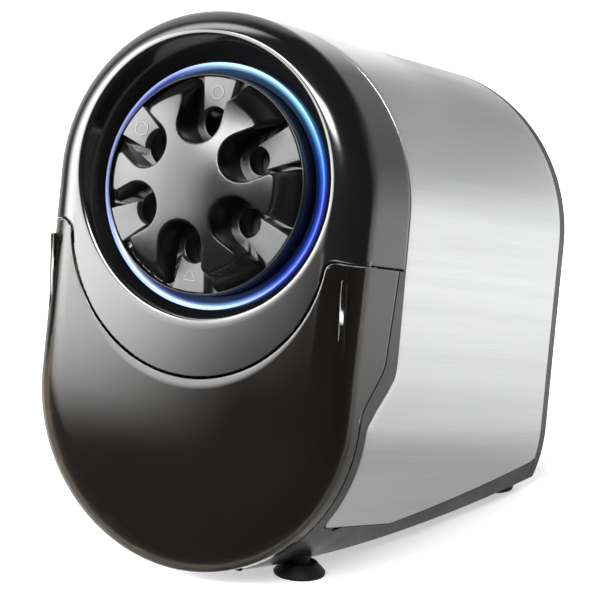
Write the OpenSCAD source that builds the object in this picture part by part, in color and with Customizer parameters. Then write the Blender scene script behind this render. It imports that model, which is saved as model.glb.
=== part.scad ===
// Electric pencil sharpener with a six-hole selector dial, a lit ring and a pull-out shavings tray.
// Millimetres. The desk is z = 0, the front faces -Y and +X is to the right seen from the front.
// Depths s run back and down along the cutter axis from the dial's face; u is the direction across
// that axis, upwards; x is sideways.

/* [Body] */
// Width of the body, which is also the diameter of its round top
body_width = 110; // [100:1:130]
// Distance between the centres of the section's upper and lower arcs
section_drop = 64; // [54:1:74]
// Slope of the body and of the cutter axis, down towards the back
body_tilt = 13.2; // [10:0.2:15]
// Height of the dial's centre above the desk
dial_height = 126.5; // [118:0.5:136]
// Distance from the dial's centre back to the rear panel, at the dial's height
rear_reach = 164; // [160:1:190]
// Thickness of the metal skin
skin_t = 1.2; // [0.8:0.1:2]
// Thickness of the moulded walls
wall_t = 2.6; // [2:0.1:3.2]

/* [Front] */
// Lean of the front face from the vertical
face_lean = 7.4; // [5:0.2:10]
// Height of the pillowed front face above its rim
face_rise = 10.6; // [8:0.2:13]
// Width of the rounded shoulder around the front face
shoulder_w = 11.8; // [9:0.2:14]
// Radius of the curve that parts the bezel from the tray
tray_curve_r = 44.3; // [42:0.1:47]
// Drop of that curve's centre below the dial's centre
tray_curve_drop = 13.9; // [12:0.1:16]
// Gap between the tray and its neighbours
tray_gap = 0.5; // [0.3:0.1:1]

/* [Dial] */
// Radius of the dial's skirt
dial_r = 34; // [32:0.2:36]
// Radius of the circle on which the pencil holes lie
hole_circle_r = 19.3; // [18:0.1:20.5]
// Diameters of the pencil holes, anticlockwise from the top
hole_d = [9.2, 11.2, 10.4, 9.8, 8.8, 8.2];
// Width of the slots above the holes
slot_w = 14.6; // [13:0.2:16]
// Radius of the domed face
dome_r = 28; // [26:0.2:30]
// Height of the dome's edge above the dial's face
dome_edge_h = 7.6; // [5:0.2:9]
// Height of the dome's middle above the dial's face
dome_h = 12; // [10:0.2:14]

/* [Mechanism] */
// Half of the angle to which the pencil's point is cut
point_half_angle = 11; // [9:0.5:13]
// Module of the cutter and motor gears
fine_module = 0.8; // [0.7:0.05:0.9]
// Module of the carrier gear
coarse_module = 1; // [0.9:0.05:1.1]
// Teeth of the fixed ring gear
ring_teeth = 44; // [44:4:48]
// Teeth of the cutter's pinion
planet_teeth = 14; // [12:1:16]
// Teeth of the carrier gear
carrier_teeth = 44; // [40:2:46]
// Teeth of the idler's small gear
idler_small_teeth = 14; // [12:1:16]
// Teeth of the idler's large gear
idler_large_teeth = 42; // [36:1:44]
// Teeth of the motor pinion
motor_teeth = 12; // [10:1:14]
// Radius of the motor's can
motor_r = 22; // [18:0.5:24]
// Radial clearance of a shaft in its bearing
running_clearance = 0.05; // [0.02:0.01:0.1]

/* [Hidden] */
$fn = 96;

big = 400;
body_r = body_width / 2;
dial_y = -76;
arch_drop = 1.3;
hair = 0.01;
// Lean of the skin's front and back edges from the vertical
skin_lean = 4.3;
// Distances behind the dial's centre, at its height, of the skin's front and back edges
skin_front = 33;
skin_back = rear_reach - 4.5;
// Underside of the base, above the desk
base_z = 4;
floor_t = 2.6;
// Depth at which the leaning rim plane crosses the section's upper arc centre
rim_s = 9.2;
// Level across the axis at which the bezel ends at the sides
side_split_u = -16.7;
// Lowest level across the axis, and lowest height, of the skin
skin_low_u = -99.6;
skin_low_z = 11.2;
// Cutter axis above the dial's axis: the active hole is the top one
pencil_u = hole_circle_r;

black = [0.07, 0.07, 0.08];
silver = [0.75, 0.76, 0.77];
steel = [0.6, 0.61, 0.63];
smoke = [0.22, 0.18, 0.14];
nylon = [0.88, 0.87, 0.82];
brass = [0.78, 0.62, 0.32];
green = [0.08, 0.3, 0.16];

// ---- frames ----

// Places children on the sloping axis: their z runs back along it and their y runs across it
module at(s = 0, u = 0, x = 0) {
  translate([0, dial_y, dial_height])
    rotate([90 - body_tilt, 0, 0])
      mirror([0, 0, 1])
        translate([x, u, s])
          children();
}

// Everything behind a plane that leans back by an angle, at a distance behind the dial's centre
module behind(y, lean) {
  translate([0, dial_y + y, dial_height])
    rotate([-lean, 0, 0])
      translate([-big / 2, 0, -big / 2])
        cube(big);
}

// Everything above a level
module above(z) {
  translate([-big / 2, -big / 2, z])
    cube(big);
}

// A side outline, given as points behind and above the dial's centre, extruded across the body
module side_form(points) {
  translate([0, dial_y, dial_height])
    rotate([90, 0, 90])
      linear_extrude(big, center = true)
        polygon(points);
}

// ---- the body's section and front ----

// The body's cross-section: two arcs joined by straight sides, moved in by an inset
module section(inset = 0) {
  translate([0, -arch_drop]) {
    circle(body_r - inset);
    translate([0, -section_drop])
      circle(body_r - inset);
    translate([inset - body_r, -section_drop])
      square([2 * (body_r - inset), section_drop]);
  }
}

module body_bar(inset = 0, s0 = -40, s1 = 260) {
  at(s0)
    linear_extrude(s1 - s0)
      section(inset);
}

// Half of the front face's profile: a rounded shoulder, then a nearly flat dome
face_crown = 1.2;
// Overlap of the profile past the body's sides
profile_lap = 0.6;
function shoulder_points(inset) = [
  for (i = [0:12])
    let (a = i * 7.5)
      [body_r + profile_lap - shoulder_w * (1 - cos(a)) - inset, face_rise * sin(a) - inset]
];
module face_profile(inset) {
  polygon(concat([[0, -60]], [[body_r + profile_lap - inset, -60]], shoulder_points(inset), [
    for (i = [1:6])
      let (f = 1 - i / 6)
        [(body_r - shoulder_w) * f, face_rise - inset + face_crown * (1 - f * f)]
  ]));
}

// The pillowed front: everything behind the face
module pillow(inset = 0) {
  at(rim_s, -arch_drop)
    rotate([face_lean - body_tilt, 0, 0])
      mirror([0, 0, 1]) {
        rotate_extrude()
          face_profile(inset);
        translate([0, -section_drop, 0]) {
          rotate_extrude()
            face_profile(inset);
          rotate([-90, 0, 0])
            linear_extrude(section_drop) {
              mirror([0, 1])
                face_profile(inset);
              mirror([1, 0])
                mirror([0, 1])
                  face_profile(inset);
            }
        }
      }
}

// Smooth step from 0 to 1
function ease(f) = f <= 0 ? 0 : f >= 1 ? 1 : f * f * (3 - 2 * f);
function mix(a, b, f) = a + (b - a) * f;
// Where the tray's side wall ends, behind the dial's centre, at a height below it
function tray_back(z) = mix(4 + (z + 72.5) * 0.15, 26.8 + (z + 23.5) * 0.224, ease((z + 67) / 15));
// Where the metal skin begins at the side
function skin_edge(z) = mix(8.5 + (z + 80) * 0.1, skin_front + z * tan(skin_lean), ease((z + 72) / 16));
module front_of_tray_edge(gap = 0) {
  side_form(concat([[-120, 40], [-120, -150]], [for (z = [-150:2:40]) [tray_back(z) - gap, z]]));
}
module behind_skin_edge(gap = 0) {
  side_form(concat([[260, 120], [260, -150]], [for (z = [-150:2:120]) [skin_edge(z) + gap, z]]));
}

// The space of the tray's front: outside the parting curve and below the side split
module tray_zone(gap = 0) {
  difference() {
    at(-60)
      translate([-big / 2, side_split_u - gap - big, 0])
        cube([big, big, big]);
    translate([0, dial_y - 80, dial_height - tray_curve_drop])
      rotate([-90, 0, 0])
        cylinder(r = tray_curve_r + gap, h = 200);
  }
}

// ---- housing ----

// The skin's lower front corner, behind and above the dial's centre, is rounded
skin_corner = [6.1, -103.8];
skin_corner_r = 3.5;
module skin_corner_waste(gap = 0) {
  up = [0.1, 1] / norm([0.1, 1]);
  back = [cos(body_tilt), -sin(body_tilt)];
  reach = skin_corner_r / tan((90 + body_tilt - atan(0.1)) / 2);
  centre = skin_corner + reach * back + skin_corner_r * [sin(body_tilt), cos(body_tilt)];
  difference() {
    side_form([skin_corner + reach * up, skin_corner + reach * up - [4, 0], skin_corner - [4, 4],
               skin_corner + reach * back - [0, 4], skin_corner + reach * back, centre]);
    translate([-big / 2, dial_y + centre[0], dial_height + centre[1]])
      rotate([0, 90, 0])
        cylinder(r = skin_corner_r + gap, h = big);
  }
}

// The metal skin's place: behind its front edge and above its lower edge
module skin_place(gap = 0) {
  difference() {
    intersection() {
      behind_skin_edge(-gap);
      above(skin_low_z - gap);
      at(-60)
        translate([-big / 2, skin_low_u - gap, 0])
          cube(big);
    }
    skin_corner_waste(gap);
  }
}

module silver_shell() {
  color(silver)
    difference() {
      intersection() {
        body_bar();
        skin_place();
      }
      body_bar(skin_t);
      behind(skin_back, skin_lean);
    }
}

// The lit ring lies at the foot of a flared recess about the dial
ring_r = dial_r + 4.1;
funnel_r = ring_r + 5.1;
ring_s = 5.8;
board_s = 9.4;
collar_end = 16;
collar_r = ring_r + 5.9;
module front_bezel() {
  color(black)
    difference() {
      union() {
        difference() {
          intersection() {
            body_bar();
            pillow();
          }
          intersection() {
            body_bar(wall_t);
            pillow(wall_t);
          }
          behind(skin_front - 0.3, skin_lean);
          tray_zone();
          at(-40)
            cylinder(r = funnel_r - 1, h = 80);
        }
        // flared recess and the collar that holds the ring, its board and the guide frame
        intersection() {
          pillow();
          at()
            rotate_extrude()
              polygon([
                [ring_r, ring_s], [funnel_r - 1.4, -1.5], [funnel_r, -9], [collar_r + 3, -9],
                [collar_r, ring_s], [collar_r, collar_end], [collar_r - 2.2, collar_end],
                [collar_r - 2.2, ring_s + 1.2], [ring_r, ring_s + 1.2]
              ]);
        }
        // wall along the parting curve, under the crescent
        intersection() {
          body_bar(wall_t);
          pillow(wall_t / 2);
          difference() {
            translate([0, dial_y - 80, dial_height - tray_curve_drop])
              rotate([-90, 0, 0])
                cylinder(r = tray_curve_r, h = 200);
            translate([0, dial_y - 80, dial_height - tray_curve_drop])
              rotate([-90, 0, 0])
                cylinder(r = tray_curve_r - 1.8, h = 200);
            at(-60)
              translate([-big / 2, side_split_u, 0])
                cube(big);
            at(-60)
              cylinder(r = collar_r + 0.2, h = 200);
            behind(16, face_lean);
          }
        }
      }
      body_outside();
      tray_zone();
    }
}

// Everything outside the body's section
module body_outside() {
  difference() {
    translate([-big / 2, -big / 2, -big / 2])
      cube(big);
    body_bar();
  }
}

// The opening through which the tray's bin slides, straight to the front
bin_inset = 4.2;
bin_floor = base_z + floor_t + 0.6;
bin_back = 46;
bin_arc_z = dial_height - 66.5;
bin_top_z = dial_height - 22;
module bin_section(grow = 0) {
  difference() {
    intersection() {
      union() {
        translate([0, bin_arc_z])
          circle(body_r - bin_inset + grow);
        translate([-(body_r - bin_inset + grow), bin_arc_z])
          square([2 * (body_r - bin_inset + grow), bin_top_z - bin_arc_z + grow]);
      }
      translate([-big / 2, bin_floor - grow])
        square([big, bin_top_z - bin_floor + 2 * grow]);
    }
    translate([0, dial_height - tray_curve_drop])
      circle(tray_curve_r + 1.6 - grow);
  }
}
module bin_bar(grow, y0, y1) {
  translate([0, dial_y + y1, 0])
    rotate([90, 0, 0])
      linear_extrude(y1 - y0)
        bin_section(grow);
}

screw_spots = [[28, 78], [28, 140]];
foot_spots = [[27, 24], [39, 146.5]];
base_lip = 8;
screw_r = 1.5;
module mirrored_spots(spots) {
  for (p = spots, side = [-1, 1])
    translate([side * p[0], dial_y + p[1], 0])
      children();
}
foot_neck_r = 3;
module base_chassis() {
  color(black)
    difference() {
      intersection() {
        body_bar();
        above(base_z);
        difference() {
          at(-60)
            translate([-big / 2, side_split_u - tray_gap - big, 0])
              cube([big, big, big]);
          front_of_tray_edge(-tray_gap);
          behind(skin_back - 0.3, skin_lean);
        }
      }
      // room above the floor
      intersection() {
        body_bar(wall_t);
        above(base_z + floor_t);
      }
      // the skin's own place
      difference() {
        skin_place(0.1);
        body_bar(skin_t + 0.1);
      }
      // a lip is left inside the skin's lower edge
      intersection() {
        above(skin_low_z + base_lip);
        behind_skin_edge(9);
      }
      bin_bar(tray_gap, -60, bin_back + 1);
      mirrored_spots(screw_spots)
        cylinder(r = screw_r + 0.2, h = 60, center = true);
      mirrored_spots(screw_spots)
        cylinder(r = 3.2, h = base_z + 1.2);
      mirrored_spots(foot_spots)
        translate([0, 0, -1])
          cylinder(r = foot_neck_r + 0.02, h = base_z + floor_t + 2);
    }
}

gland_x = -26;
gland_z = 30;
gland_r = 7;
vent_w = 2.4;
vent_pitch = 6;
// Places children on the rear panel: depth is measured outwards from its face
module on_rear_panel(depth, x, z) {
  translate([0, dial_y + rear_reach, dial_height])
    rotate([-skin_lean, 0, 0])
      translate([x, depth, z - dial_height])
        rotate([-90, 0, 0])
          children();
}
module rear_cover() {
  color(black)
    difference() {
      union() {
        difference() {
          intersection() {
            body_bar();
            above(base_z);
            behind(skin_back, skin_lean);
          }
          behind(rear_reach, skin_lean);
        }
        // lip inside the skin
        difference() {
          intersection() {
            body_bar(skin_t + 0.2);
            above(skin_low_z + base_lip + 0.3);
            behind(skin_back - 6, skin_lean);
          }
          body_bar(skin_t + 0.2 + 1.8);
          behind(skin_back + 1, skin_lean);
        }
        // feet for the two rear screws
        for (side = [-1, 1])
          translate([side * screw_spots[1][0] - 5, dial_y + screw_spots[1][1] - 5, base_z + floor_t])
            cube([10, 18, 5]);
      }
      // hollow behind the rim
      intersection() {
        body_bar(4);
        above(base_z + 12);
        behind(skin_back - 1, skin_lean);
        difference() {
          behind(skin_back - 1, skin_lean);
          behind(rear_reach - 2.2, skin_lean);
        }
      }
      // air vents
      for (i = [0:7])
        on_rear_panel(-8, 0, 62 + i * vent_pitch)
          linear_extrude(16)
            union() {
              square([44, vent_w], center = true);
              for (side = [-1, 1])
                translate([side * 22, 0])
                  circle(d = vent_w, $fn = 24);
            }
      on_rear_panel(-12, gland_x, gland_z)
        cylinder(r = gland_r - 1.5, h = 24);
      mirrored_spots([screw_spots[1]])
        cylinder(r = screw_r, h = 60, center = true);
    }
}

module cord_gland() {
  color(black)
    difference() {
      union() {
        on_rear_panel(-4, gland_x, gland_z)
          cylinder(r = gland_r - 1.5 - 0.02, h = 4.02);
        on_rear_panel(0.02, gland_x, gland_z)
          cylinder(r = gland_r, h = 1.6);
        on_rear_panel(-6.5, gland_x, gland_z)
          cylinder(r = gland_r, h = 2);
        on_rear_panel(-4.6, gland_x, gland_z)
          cylinder(r = gland_r - 1.5 - 0.02, h = 1);
      }
      on_rear_panel(-9, gland_x, gland_z)
        cylinder(r = 3.2, h = 16);
    }
}

module suction_feet() {
  color([0.05, 0.05, 0.05])
    mirrored_spots(foot_spots)
      rotate_extrude()
        polygon([
          [0, 1.6], [3, 1.4], [6.2, 0], [8.2, 0], [8.4, 0.8], [7, 2.4], [5.6, 3.9],
          [foot_neck_r, 3.9], [foot_neck_r, base_z + floor_t],
          [foot_neck_r - 0.8, bin_floor - 0.2], [0, bin_floor - 0.2]
        ]);
}

module pan_screw(r, length) {
  translate([0, 0, -1.1])
    cylinder(r = 2 * r, h = 1.1);
  cylinder(r = r, h = length);
}
module base_screws() {
  color(steel)
    mirrored_spots(screw_spots)
      translate([0, 0, base_z + 1.2])
        pan_screw(screw_r - 0.02, 6.5);
}

// ---- light ----

module light_ring() {
  color([0.5, 0.8, 1])
    at()
      rotate_extrude()
        polygon([
          [dial_r + 0.6, ring_s + 0.4], [ring_r - 0.1, ring_s], [ring_r - 0.1, ring_s + 1.3],
          [collar_r - 2.4, ring_s + 1.3], [collar_r - 2.4, board_s - 1], [dial_r + 0.6, board_s - 1]
        ]);
}

led_count = 12;
module light_board() {
  color(green)
    at(board_s)
      difference() {
        cylinder(r = collar_r - 2.4, h = 1.6);
        translate([0, 0, -1])
          cylinder(r = dial_r + 1.2, h = 4);
      }
}
module leds() {
  color([0.9, 0.95, 1])
    for (i = [0:led_count - 1])
      at(board_s - 0.9)
        rotate(i * 360 / led_count + 15)
          translate([ring_r - 0.9, 0, 0.45])
            cube([2.4, 3.2, 0.88], center = true);
}

// ---- dial ----

dial_back_s = 11;
detent_r = dial_r - 2.4;
detent_angle = -60;
dimple_r = 2;
axle_r = 3;
hub_r = 7;
function hole_angle(i) = 90 + 60 * i;
module selector_dial() {
  dome_sphere = (dome_r * dome_r + pow(dome_h - dome_edge_h, 2)) / (2 * (dome_h - dome_edge_h));
  color([0.12, 0.12, 0.13])
    at()
      difference() {
        union() {
          // skirt and plate
          cylinder(r1 = dial_r - 0.9, r2 = dial_r, h = 1.2);
          translate([0, 0, 1.2])
            cylinder(r = dial_r, h = dial_back_s - 1.2);
          // flank and dome
          rotate_extrude()
            polygon(concat([
              [0, 0.5], [dial_r - 1.6, 0.5], [dial_r - 2.2, -1.2],
              [dome_r + 0.8, -dome_edge_h + 1.4], [dome_r, -dome_edge_h]
            ], [
              for (i = [1:10])
                let (r = dome_r * (1 - i / 10))
                  [r, -dome_edge_h - (sqrt(dome_sphere * dome_sphere - r * r)
                    - sqrt(dome_sphere * dome_sphere - dome_r * dome_r))]
            ]));
        }
        for (i = [0:5])
          rotate(hole_angle(i)) {
            // slot above the hole, open to the outside
            translate([hole_circle_r, 0, -20])
              cylinder(d = slot_w, h = 20);
            translate([hole_circle_r, -slot_w / 2, -20])
              cube([20, slot_w, 20]);
            translate([hole_circle_r, 0, -1])
              cylinder(d = hole_d[i], h = 20);
            // relief pockets between the holes, from behind
            rotate(30)
              translate([hole_circle_r + 5, 0, 2.4])
                cylinder(r = 5.4, h = 20);
            // dimples that the detent spring drops into, in the dial's back
            rotate(30)
              translate([detent_r, 0, dial_back_s + 1])
                sphere(r = dimple_r);
          }
        // rear hollow about the hub
        translate([0, 0, dial_back_s - 3])
          difference() {
            cylinder(r = hole_circle_r - 7.4, h = 10);
            translate([0, 0, -1])
              cylinder(r = hub_r, h = 20);
          }
        translate([0, 0, -6])
          cylinder(r = axle_r + running_clearance, h = 40);
      }
}

plate_s = 13;
plate_t = 2.6;
guide_end = 27;
guide_bore_r = 6.4;
module dial_axle() {
  color(steel)
    at() {
      translate([0, 0, -5.6])
        cylinder(r = axle_r, h = plate_s + 5.6 - 0.02);
      translate([0, 0, plate_s - 0.02])
        cylinder(r = axle_r - 0.6, h = plate_t);
    }
}

// Leaf spring on the guide frame, with a round nose that rests in a dimple of the dial
module detent_spring() {
  color(steel)
    at()
      rotate(detent_angle) {
        translate([detent_r, 0, dial_back_s + 1])
          difference() {
            sphere(r = dimple_r - 0.35);
            translate([-5, -5, 0.4])
              cube(10);
          }
        translate([detent_r - 2.4, -2.5, dial_back_s + 0.9])
          cube([4.8, 22, 0.5]);
        translate([detent_r - 2.4, 15.5, dial_back_s + 0.9])
          cube([4.8, 4, plate_s - dial_back_s - 0.92]);
      }
}

lever_s = 21;
lever_u = pencil_u - 13;
module guide_frame() {
  color([0.1, 0.1, 0.11])
    difference() {
      union() {
        at(plate_s)
          cylinder(r = collar_r - 2.4, h = plate_t);
        at(plate_s, pencil_u)
          cylinder(r = guide_bore_r + 2, h = guide_end - plate_s);
        // cheeks for the lever's pin
        for (side = [-1, 1])
          at(lever_s - 3.5, lever_u - 3.5, side * 4.6 - 0.9)
            cube([1.8, 8, 7]);
        for (side = [-1, 1])
          at(plate_s + 1, lever_u - 3.5, side * 4.6 - 0.9)
            cube([1.8, 8, lever_s - plate_s - 1]);
      }
      at(plate_s - 1, pencil_u)
        cylinder(r = guide_bore_r, h = 30);
      at(plate_s - 1)
        cylinder(r = axle_r - 0.58, h = 10);
      // slot for the lever's tip
      at(lever_s - 3.6, pencil_u - 12, -2.4)
        cube([4.8, 8, 9]);
      at(lever_s, lever_u, -8)
        rotate([0, 90, 0])
          cylinder(r = 1.02, h = 16, $fn = 32);
    }
}

module lever_pin() {
  color(steel)
    at(lever_s, lever_u, -5.5)
      rotate([0, 90, 0])
        cylinder(r = 1, h = 11, $fn = 32);
}

module start_lever() {
  color(nylon)
    difference() {
      union() {
        at(lever_s, lever_u, -2)
          rotate([0, 90, 0])
            cylinder(r = 2.4, h = 4);
        at(lever_s - 1, lever_u, -1.6)
          cube([3.2, 9.4, 2]);
        at(lever_s, lever_u + 9.4, -1.6)
          rotate([0, 90, 0])
            cylinder(r = 1, h = 3.2, $fn = 32);
        // tail above the switch's button
        at(lever_s, lever_u - 2.1, -1.6)
          cube([3.2, 1.6, 4.6]);
      }
      at(lever_s, lever_u, -8)
        rotate([0, 90, 0])
          cylinder(r = 1 + running_clearance, h = 16, $fn = 32);
    }
}

module start_switch() {
  color([0.15, 0.12, 0.1]) {
    at(plate_s + plate_t + 0.02, lever_u - 11, -5)
      cube([10, 6.4, 11]);
    at(plate_s + plate_t + 8, lever_u - 4.6, -1.2)
      cube([2.4, 1.4, 2]);
  }
}

// ---- cutter ----

frame_r = 28;
frame_s0 = 30;
plate2_s = 90;
plate2_t = 2;
ring_s0 = 31.6;
ring_h = 5.6;
carrier_s0 = 38.4;
carrier_disc_t = 3;
carrier_r = 22;
carrier_s1 = 73;
carrier_shaft_r = 4;
planet_mid_s = ring_s0 + ring_h / 2;
planet_pitch_r = fine_module * planet_teeth / 2;
ring_pitch_r = fine_module * ring_teeth / 2;
planet_axis_r = ring_pitch_r - planet_pitch_r;
cutter_r = 5;
spindle_r = 1.5;
spindle_end = 41.4;
sleeve_r = 2.8;
carrier_gear_s = 79;
gear_h = 5;
idler_u = pencil_u - coarse_module * (carrier_teeth + idler_small_teeth) / 2;
motor_u = idler_u - fine_module * (idler_large_teeth + motor_teeth) / 2;
large_gear_s = 85;
large_gear_h = 3.4;

// Involute gear outline: teeth, module, backlash along the pitch circle, addendum and dedendum in modules
function inv_angle(rb, r) = r <= rb ? 0 : tan(acos(rb / r)) * 180 / PI - acos(rb / r);
function flank_radii(rf, rb, ra) =
  let (r0 = max(rf, rb))
    concat([rf], [for (i = [0:4]) r0 + (ra - r0) * i / 4]);
function tooth(n, m, lash, ra, rf, a0) =
  let (rp = n * m / 2, rb = rp * cos(20), half = 90 / n - lash / (4 * rp) * 180 / PI,
       radii = flank_radii(rf, rb, ra), last = len(radii) - 1)
    concat(
      [for (i = [0:last])
        let (r = radii[i], a = a0 - half - inv_angle(rb, rp) + inv_angle(rb, r))
          r * [cos(a), sin(a)]],
      [for (i = [last:-1:0])
        let (r = radii[i], a = a0 + half + inv_angle(rb, rp) - inv_angle(rb, r))
          r * [cos(a), sin(a)]]
    );
module gear2d(n, m, lash = 0.3, add = 0.85, ded = 1.2, phase = 0) {
  rp = n * m / 2;
  polygon([for (k = [0:n - 1]) each tooth(n, m, lash, rp + add * m, rp - ded * m, phase + k * 360 / n)]);
}

module cutter_frame() {
  color([0.13, 0.13, 0.14])
    difference() {
      union() {
        at(frame_s0, pencil_u)
          cylinder(r = frame_r, h = plate2_s - frame_s0 - 0.05);
        // lugs that take the plate's screws
        for (side = [-1, 1])
          at(plate2_s - 12.05, pencil_u, side * (frame_r + 2.6))
            cylinder(r = 4, h = 12);
      }
      at(frame_s0 + 1.5, pencil_u)
        cylinder(r = frame_r - 2, h = 100);
      at(frame_s0 - 1, pencil_u)
        cylinder(r = guide_bore_r + 1.2, h = 30);
      // open underneath, for the shavings and the idler gear
      at(frame_s0 - 1, pencil_u - 14 - 60, -60)
        cube([120, 60, 120]);
      for (side = [-1, 1])
        at(plate2_s - 9, pencil_u, side * (frame_r + 2.6))
          cylinder(r = screw_r, h = 40);
    }
}

module ring_gear() {
  color(nylon)
    at(ring_s0, pencil_u)
      linear_extrude(ring_h)
        difference() {
          circle(frame_r - 2 - 0.02);
          rotate(90)
            gear2d(ring_teeth, fine_module, lash = -0.3, add = 1.25, ded = 0.8);
        }
}

module carrier_bearing() {
  color(brass)
    at(carrier_s0, pencil_u)
      difference() {
        cylinder(r = frame_r - 2 - 0.02, h = carrier_disc_t);
        translate([0, 0, -1])
          cylinder(r = carrier_r + running_clearance, h = 10);
      }
}

// Places children on the cutter's own axis, which closes on the pencil's axis towards the back
module on_cutter_axis() {
  at(planet_mid_s, pencil_u + planet_axis_r)
    rotate([point_half_angle, 0, 0])
      children();
}

module cutter_carrier() {
  color(steel)
    difference() {
      union() {
        at(carrier_s0, pencil_u)
          cylinder(r = carrier_r, h = carrier_disc_t);
        at(carrier_s1, pencil_u)
          cylinder(r = 15, h = 3);
        at(carrier_s1 + 3 - hair, pencil_u)
          cylinder(r = carrier_shaft_r, h = plate2_s + 6 - carrier_s1 - 3);
        for (side = [-1, 1])
          at(carrier_s0 + 1, pencil_u - 4, side * 12.6 - 1.8)
            cube([3.6, 8, carrier_s1 - carrier_s0]);
      }
      at(carrier_s0 - 1, pencil_u)
        cylinder(r = guide_bore_r, h = carrier_disc_t + 2);
      // bearing of the cutter's sleeve in front, and the spindle's seat behind
      on_cutter_axis()
        cylinder(r = sleeve_r + running_clearance, h = 20);
      on_cutter_axis()
        cylinder(r = spindle_r, h = spindle_end);
    }
}

module cutter_spindle() {
  color(steel)
    on_cutter_axis()
      translate([0, 0, -2.4])
        cylinder(r = spindle_r - 0.01, h = spindle_end + 2.4);
}

planet_h = 2.6;
cutter_z0 = 8.6;
cutter_z1 = 38;
flutes = 12;
module helical_cutter() {
  color([0.5, 0.51, 0.53])
    on_cutter_axis()
      difference() {
        union() {
          translate([0, 0, cutter_z0])
            linear_extrude(cutter_z1 - cutter_z0)
              difference() {
                circle(cutter_r);
                for (i = [0:flutes - 1])
                  rotate(i * 360 / flutes)
                    translate([cutter_r, 0])
                      rotate(25)
                        square([1.4, 1.1], center = true);
              }
          // sleeve that passes the carrier's front disc and takes the pinion
          translate([0, 0, planet_h / 2 + 0.02])
            cylinder(r = sleeve_r, h = cutter_z0 - planet_h / 2);
        }
        translate([0, 0, -10])
          cylinder(r = spindle_r + running_clearance, h = 60);
      }
}

module cutter_pinion() {
  color(brass)
    on_cutter_axis()
      difference() {
        translate([0, 0, -planet_h / 2])
          linear_extrude(planet_h)
            rotate(90)
              gear2d(planet_teeth, fine_module, lash = 0.3);
        translate([0, 0, -10])
          cylinder(r = spindle_r + running_clearance, h = 60);
      }
}

module carrier_gear() {
  color(nylon)
    at(carrier_gear_s, pencil_u)
      difference() {
        linear_extrude(gear_h)
          rotate(-90)
            gear2d(carrier_teeth, coarse_module);
        translate([0, 0, -1])
          cylinder(r = carrier_shaft_r + 0.01, h = 10);
        for (i = [0:5])
          rotate(i * 60)
            translate([12.5, 0, -1])
              cylinder(r = 3.6, h = 10);
      }
}

// ---- gear plate and drive ----

module gear_plate() {
  color(silver)
    difference() {
      union() {
        intersection() {
          at(plate2_s)
            linear_extrude(plate2_t)
              section(6);
          above(base_z + floor_t + 0.02);
        }
        for (side = [-1, 1])
          translate([side * screw_spots[0][0] - 6, dial_y + screw_spots[0][1] - 13, base_z + floor_t + 0.02])
            cube([12, 19, 2]);
      }
      at(plate2_s - 1, pencil_u)
        cylinder(r = 6.5, h = 10);
      at(plate2_s - 1, idler_u)
        cylinder(r = 2.5, h = 10);
      at(plate2_s - 1, motor_u)
        cylinder(r = 5.5, h = 10);
      for (side = [-1, 1])
        at(plate2_s - 1, pencil_u, side * (frame_r + 2.6))
          cylinder(r = screw_r + 0.2, h = 10);
      for (side = [-1, 1])
        at(plate2_s - 1, motor_u, side * 12)
          cylinder(r = screw_r + 0.2, h = 10);
      mirrored_spots([screw_spots[0]])
        cylinder(r = screw_r, h = 60, center = true);
    }
}

module plate_screws() {
  color(steel)
    for (side = [-1, 1])
      at(plate2_s + plate2_t + 0.02, pencil_u, side * (frame_r + 2.6))
        mirror([0, 0, 1])
          pan_screw(screw_r - 0.02, 9);
}

module rear_bush() {
  color(brass)
    at(plate2_s - 1.2, pencil_u)
      difference() {
        union() {
          cylinder(r = 8, h = 1.15);
          cylinder(r = 6.48, h = 6);
        }
        translate([0, 0, -1])
          cylinder(r = carrier_shaft_r + running_clearance, h = 10);
      }
}

idler_pin_r = 2.5;
module idler_pin() {
  color(steel)
    at(carrier_gear_s - 2, idler_u) {
      cylinder(r = idler_pin_r - 0.01, h = plate2_s + plate2_t - carrier_gear_s + 2);
      cylinder(r = idler_pin_r + 1.4, h = 1);
    }
}

module idler_gear() {
  color(nylon)
    at(carrier_gear_s, idler_u)
      difference() {
        union() {
          linear_extrude(gear_h + 1)
            rotate(90 + 180 / idler_small_teeth)
              gear2d(idler_small_teeth, coarse_module);
          translate([0, 0, large_gear_s - carrier_gear_s])
            linear_extrude(large_gear_h)
              rotate(-90)
                gear2d(idler_large_teeth, fine_module);
          translate([0, 0, gear_h])
            cylinder(r = 5.2, h = large_gear_s - carrier_gear_s - gear_h + 0.4);
        }
        translate([0, 0, -1])
          cylinder(r = idler_pin_r + running_clearance, h = 20);
      }
}

motor_s0 = plate2_s + plate2_t + 0.02;
motor_len = 46;
motor_shaft_r = 1.6;
module motor_can() {
  color(silver)
    at(motor_s0, motor_u)
      difference() {
        cylinder(r = motor_r, h = motor_len);
        translate([0, 0, 1.4])
          cylinder(r = motor_r - 1.2, h = motor_len);
        translate([0, 0, -1])
          cylinder(r = motor_shaft_r + running_clearance, h = 10);
        for (side = [-1, 1])
          translate([side * 12, 0, -1])
            cylinder(r = screw_r, h = 10);
      }
}
module motor_screws() {
  color(steel)
    for (side = [-1, 1])
      at(plate2_s - 0.02, motor_u, side * 12)
        pan_screw(screw_r - 0.02, 5);
}
module motor_magnets() {
  color([0.25, 0.25, 0.27])
    for (side = [-1, 1])
      at(motor_s0 + 6, motor_u)
        linear_extrude(32)
          intersection() {
            difference() {
              circle(motor_r - 1.25);
              circle(motor_r - 6);
            }
            translate([side * motor_r, 0])
              square([1.7 * motor_r, 2 * motor_r * 0.8], center = true);
          }
}
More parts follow.
